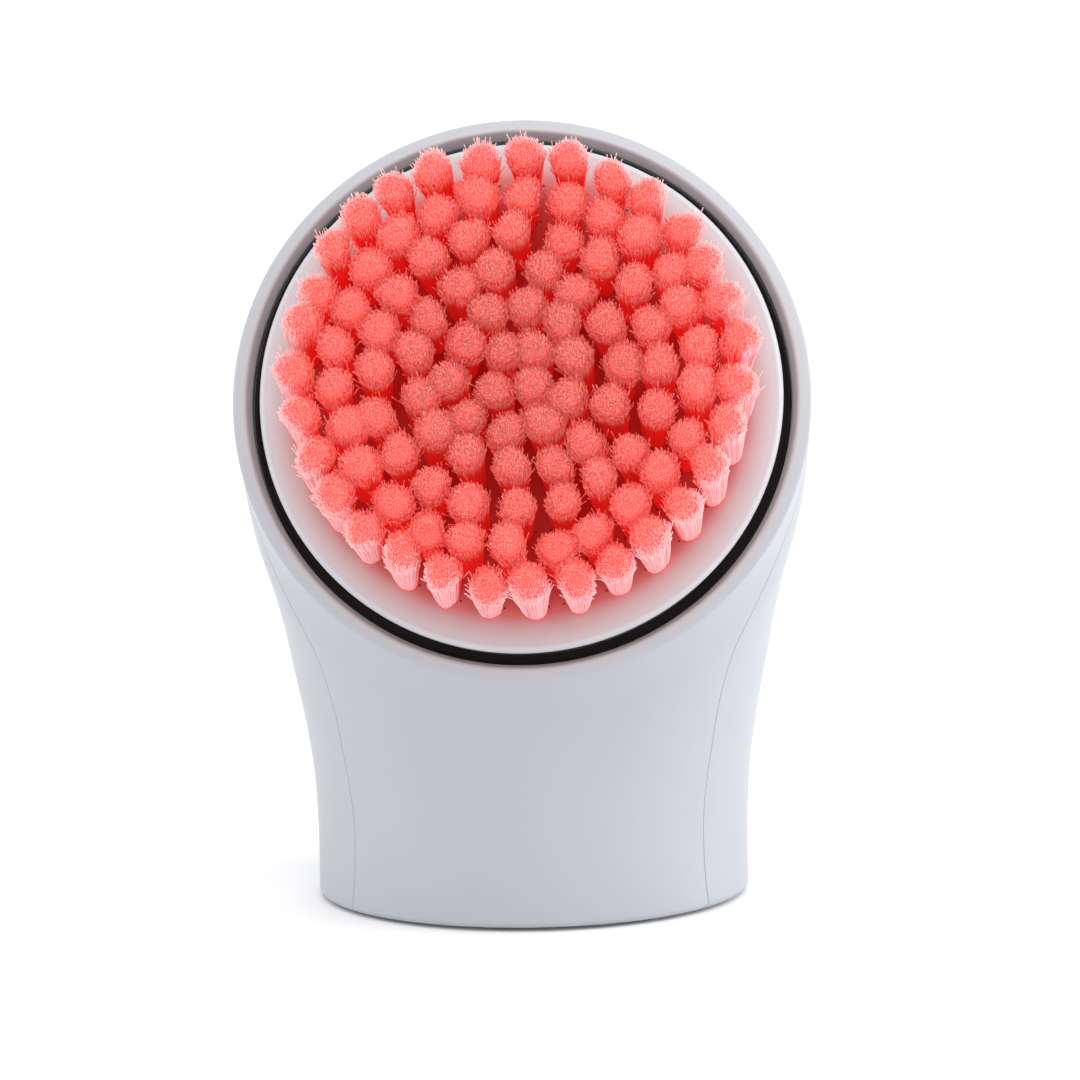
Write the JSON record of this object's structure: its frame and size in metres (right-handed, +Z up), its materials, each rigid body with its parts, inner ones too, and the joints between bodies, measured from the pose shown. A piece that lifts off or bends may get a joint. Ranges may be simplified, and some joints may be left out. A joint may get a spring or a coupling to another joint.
{
  "type": "facial cleansing brush",
  "caption": "Compact stand-up facial cleansing brush: elliptical flat base, angled round collar, turning brush head of soft tufts, motor and gears inside",
  "frame": {"origin": "middle of the underside of the flat base, on the surface that the brush stands on", "axes": "+Z up, -Y the front that the brush head faces, +X to the right seen from the front"},
  "size_m": [0.052, 0.0447, 0.0716],
  "materials": {
    "shell_white": "satin",
    "disc_white": "satin",
    "bristle_coral": "fine soft filaments",
    "grey_plastic": "moulded",
    "gear_plastic": "moulded acetal",
    "turned_steel": "turned",
    "motor_steel": "drawn and plated",
    "bush_bronze": "sintered",
    "contact_brass": "bright",
    "seal_rubber": "matte",
    "button_silicone": "matte",
    "board_green": "solder mask",
    "cell_wrap": "shrink wrap",
    "lens_clear": "clear",
    "wire_red": "matte",
    "wire_black": "matte"
  },
  "bodies": {
    "housing": {"front_shell": "shell_white", "rear_shell": "shell_white", "base_plate": "shell_white", "base_gasket": "seal_rubber", "base_screw_1": "turned_steel", "base_screw_2": "turned_steel", "base_screw_3": "turned_steel", "charging_contact_left": "contact_brass", "charging_contact_right": "contact_brass", "battery_cell": "cell_wrap", "battery_cradle": "grey_plastic", "battery_tab_left": "turned_steel", "battery_tab_right": "turned_steel", "circuit_board": "board_green", "board_screw_left": "turned_steel", "board_screw_right": "turned_steel", "tact_switch": "grey_plastic", "status_led": "lens_clear", "light_pipe": "lens_clear", "motor_can": "motor_steel", "motor_end_cap": "grey_plastic", "gear_plate": "grey_plastic", "plate_screw_1": "turned_steel", "plate_screw_2": "turned_steel", "plate_screw_3": "turned_steel", "idler_pin": "turned_steel", "front_bush": "bush_bronze", "rear_bush": "bush_bronze", "shaft_seal": "seal_rubber", "well_liner": "seal_rubber", "cell_lead_black": "wire_black", "cell_lead_red": "wire_red", "charge_lead_black": "wire_black", "charge_lead_red": "wire_red", "motor_lead_black": "wire_black", "motor_lead_red": "wire_red"},
    "drive": {"drive_spindle": "turned_steel", "output_gear": "gear_plastic", "spindle_clip": "turned_steel"},
    "idler": {"idler_gear": "gear_plastic"},
    "rotor": {"motor_rotor": "turned_steel", "motor_pinion": "contact_brass"},
    "brush_head": {"brush_plate": "disc_white", "bristle_tufts": "bristle_coral", "brush_hub": "disc_white"},
    "button": {"power_button": "button_silicone"}
  },
  "joints": [
    {"name": "drive_spin", "type": "hinge", "parent": "housing", "child": "drive", "pos_m": [0, -0.0024, 0.0466], "axis": [0, -0.8988, 0.4384], "continuous": true},
    {"name": "idler_spin", "type": "hinge", "parent": "housing", "child": "idler", "pos_m": [0.00894, -0.00591, 0.0394], "axis": [0, -0.8988, 0.4384], "continuous": true},
    {"name": "rotor_spin", "type": "hinge", "parent": "housing", "child": "rotor", "pos_m": [0, -0.00788, 0.03537], "axis": [0, -0.8988, 0.4384], "continuous": true},
    {"name": "head_pull", "type": "slide", "parent": "drive", "child": "brush_head", "axis": [0, -0.8988, 0.4384], "range_m": [0, 0.02]},
    {"name": "button_press", "type": "slide", "parent": "housing", "child": "button", "axis": [0, -1, 0], "range_m": [0, 0.0006], "stiffness_N_per_m": 800}
  ],
  "couplings": [
    {"joint": "idler_spin", "follows": "drive_spin", "ratio": -3},
    {"joint": "rotor_spin", "follows": "drive_spin", "ratio": 12}
  ]
}
